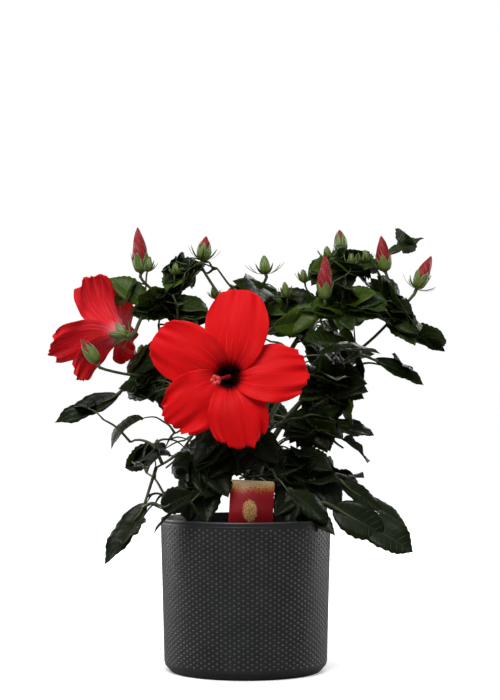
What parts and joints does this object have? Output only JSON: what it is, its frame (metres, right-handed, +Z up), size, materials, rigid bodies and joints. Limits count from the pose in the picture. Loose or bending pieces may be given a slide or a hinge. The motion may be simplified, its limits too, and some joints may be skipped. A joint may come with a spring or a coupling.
{
  "type": "potted hibiscus shrub",
  "caption": "Bushy flowering hibiscus shrub with a short woody stem, leafy boughs, open red blooms and pointed buds, in a round dark studded pot.",
  "frame": {"origin": "centre of the pot's flat underside, on the pot's axis", "axes": "+Z up, +X to the right seen from the front, -Y towards the front, where the larger bloom faces"},
  "size_m": [0.3496, 0.26, 0.393],
  "materials": {
    "pot_clay": "matte charcoal glaze over a fine lattice of raised studs, with a plain rim",
    "potting_mix": "damp crumbly dark brown peat and bark",
    "label_card": "printed plastic card, cream and yellow speckled into red, with no lettering",
    "bark": "grey-brown fissured bark on the stem, greener and smoother towards the shoots",
    "leaf": "glossy dark green leaves with paler veins and toothed edges",
    "bud": "finely hairy green calyx with a twisted red tip",
    "petal": "velvety bright red petals with radiating veins and a near-black red eye"
  },
  "bodies": {
    "root": {"pot": "pot_clay", "potting_mix": "potting_mix", "plant_label": "label_card", "main_stem": "bark", "bough_back_left": "bark", "bough_back_right": "bark", "bough_front": "bark", "bough_left": "bark", "bough_left_low": "bark", "bough_right": "bark", "bough_right_low": "bark", "bough_top_left": "bark", "bough_top_middle": "bark", "bough_top_right": "bark", "bloom_front": "petal", "bloom_left": "petal", "bud_far_left": "bud", "bud_far_right": "bud", "bud_left_small": "bud", "bud_left_tall": "bud", "bud_middle": "bud", "bud_right_green": "bud", "bud_right_red": "bud", "bud_right_tall": "bud", "spray_back_left_droop": "leaf", "spray_back_right_droop": "leaf", "spray_far_left": "leaf", "spray_far_right": "leaf", "spray_left_crown": "leaf", "spray_left_droop": "leaf", "spray_left_low": "leaf", "spray_left_waist": "leaf", "spray_middle_crown": "leaf", "spray_right_crown": "leaf", "spray_right_droop": "leaf", "spray_right_low": "leaf", "spray_right_middle": "leaf", "spray_right_outer": "leaf", "spray_right_waist": "leaf", "spray_right_waist_low": "leaf", "spray_rim_left": "leaf", "spray_rim_right": "leaf", "clump_back_crown": "leaf", "clump_back_left": "leaf", "clump_back_low": "leaf", "clump_back_middle": "leaf", "clump_back_right": "leaf", "clump_front_heart": "leaf", "clump_front_low_left": "leaf", "clump_front_low_middle": "leaf", "clump_front_low_right": "leaf", "clump_left_crown": "leaf", "clump_left_heart": "leaf", "clump_left_shoulder": "leaf", "clump_middle": "leaf", "clump_right_crown": "leaf", "clump_right_heart": "leaf", "clump_right_shoulder": "leaf", "clump_right_top": "leaf", "clump_right_waist": "leaf"}
  },
  "joints": []
}
